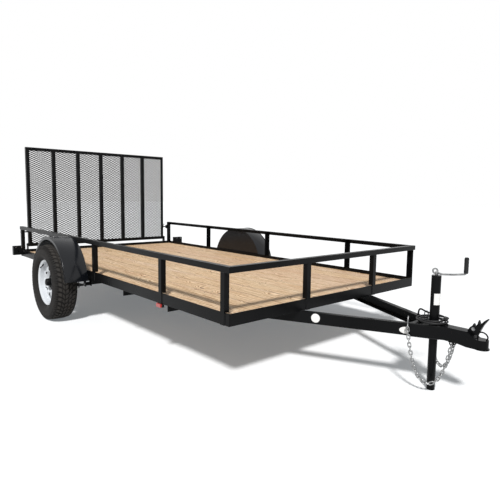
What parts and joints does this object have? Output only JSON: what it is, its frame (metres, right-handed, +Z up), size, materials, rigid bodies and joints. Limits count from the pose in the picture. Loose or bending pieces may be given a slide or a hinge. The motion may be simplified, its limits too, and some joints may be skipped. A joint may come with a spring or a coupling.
{
  "type": "utility trailer",
  "caption": "Open utility trailer on one axle, with a plank deck, angle side rails, a folding mesh ramp gate, an A-frame tongue and a jack.",
  "frame": {"origin": "on the ground, under the middle of the object's box", "axes": "+X forward to the coupler, +Y to the trailer's left, +Z up"},
  "size_m": [5.052, 2.55, 1.694],
  "materials": {
    "black_paint": "semi-gloss",
    "fender_paint": "gloss",
    "white_paint": "gloss",
    "plank": "planed",
    "tyre_rubber": "matte",
    "zinc": "zinc plated",
    "red_lens": "gloss",
    "black_rubber": "satin",
    "mesh_steel": "satin"
  },
  "bodies": {
    "frame": {"axle": "black_paint", "chain_anchor": "black_paint", "chain_left": "zinc", "chain_right": "zinc", "coupler_body": "black_paint", "coupler_latch": "black_paint", "crossmembers": "black_paint", "deck_boards": "plank", "fender_left": "fender_paint", "fender_right": "fender_paint", "front_frame": "black_paint", "gate_hinges": "black_paint", "gate_latches": "black_paint", "harness_coil": "black_rubber", "harness_grommet": "black_rubber", "harness_lead": "black_rubber", "harness_plug": "black_rubber", "jack_flange": "black_paint", "jack_tube": "black_paint", "light_bracket_left": "black_paint", "light_bracket_right": "black_paint", "marker_light_left": "red_lens", "marker_light_right": "red_lens", "posts_front": "black_paint", "posts_left": "black_paint", "posts_right": "black_paint", "rail_front": "black_paint", "rail_left": "black_paint", "rail_right": "black_paint", "rear_frame": "black_paint", "side_frame_left": "black_paint", "side_frame_right": "black_paint", "spring_clamp_left": "zinc", "spring_clamp_right": "zinc", "spring_hangers_left": "black_paint", "spring_hangers_right": "black_paint", "spring_left": "black_paint", "spring_right": "black_paint", "tail_light_left": "red_lens", "tail_light_right": "red_lens", "tongue_beam_left": "black_paint", "tongue_beam_right": "black_paint"},
    "wheel_right": {"hub_right": "black_paint", "rim_right": "white_paint", "tyre_right": "tyre_rubber"},
    "wheel_left": {"hub_left": "black_paint", "rim_left": "white_paint", "tyre_left": "tyre_rubber"},
    "gate": {"gate_frame": "black_paint", "gate_mesh": "mesh_steel"},
    "jack_leg": {"jack_leg": "black_paint"},
    "crank": {"crank_arm": "zinc", "crank_grip": "black_rubber"}
  },
  "joints": [
    {"name": "wheel_right_spin", "type": "hinge", "parent": "frame", "child": "wheel_right", "pos_m": [-0.919, -1.1725, 0.3445], "axis": [0, 1, 0], "continuous": true},
    {"name": "wheel_left_spin", "type": "hinge", "parent": "frame", "child": "wheel_left", "pos_m": [-0.919, 1.1725, 0.3445], "axis": [0, 1, 0], "continuous": true},
    {"name": "gate_hinge", "type": "hinge", "parent": "frame", "child": "gate", "pos_m": [-2.504, 0, 0.533], "axis": [0, -1, 0], "range_deg": [0, 115]},
    {"name": "jack_slide", "type": "slide", "parent": "frame", "child": "jack_leg", "axis": [0, 0, 1], "range_m": [0, 0.25]},
    {"name": "crank_turn", "type": "hinge", "parent": "frame", "child": "crank", "pos_m": [2.196, 0, 0.708], "axis": [0, 0, 1], "continuous": true}
  ]
}
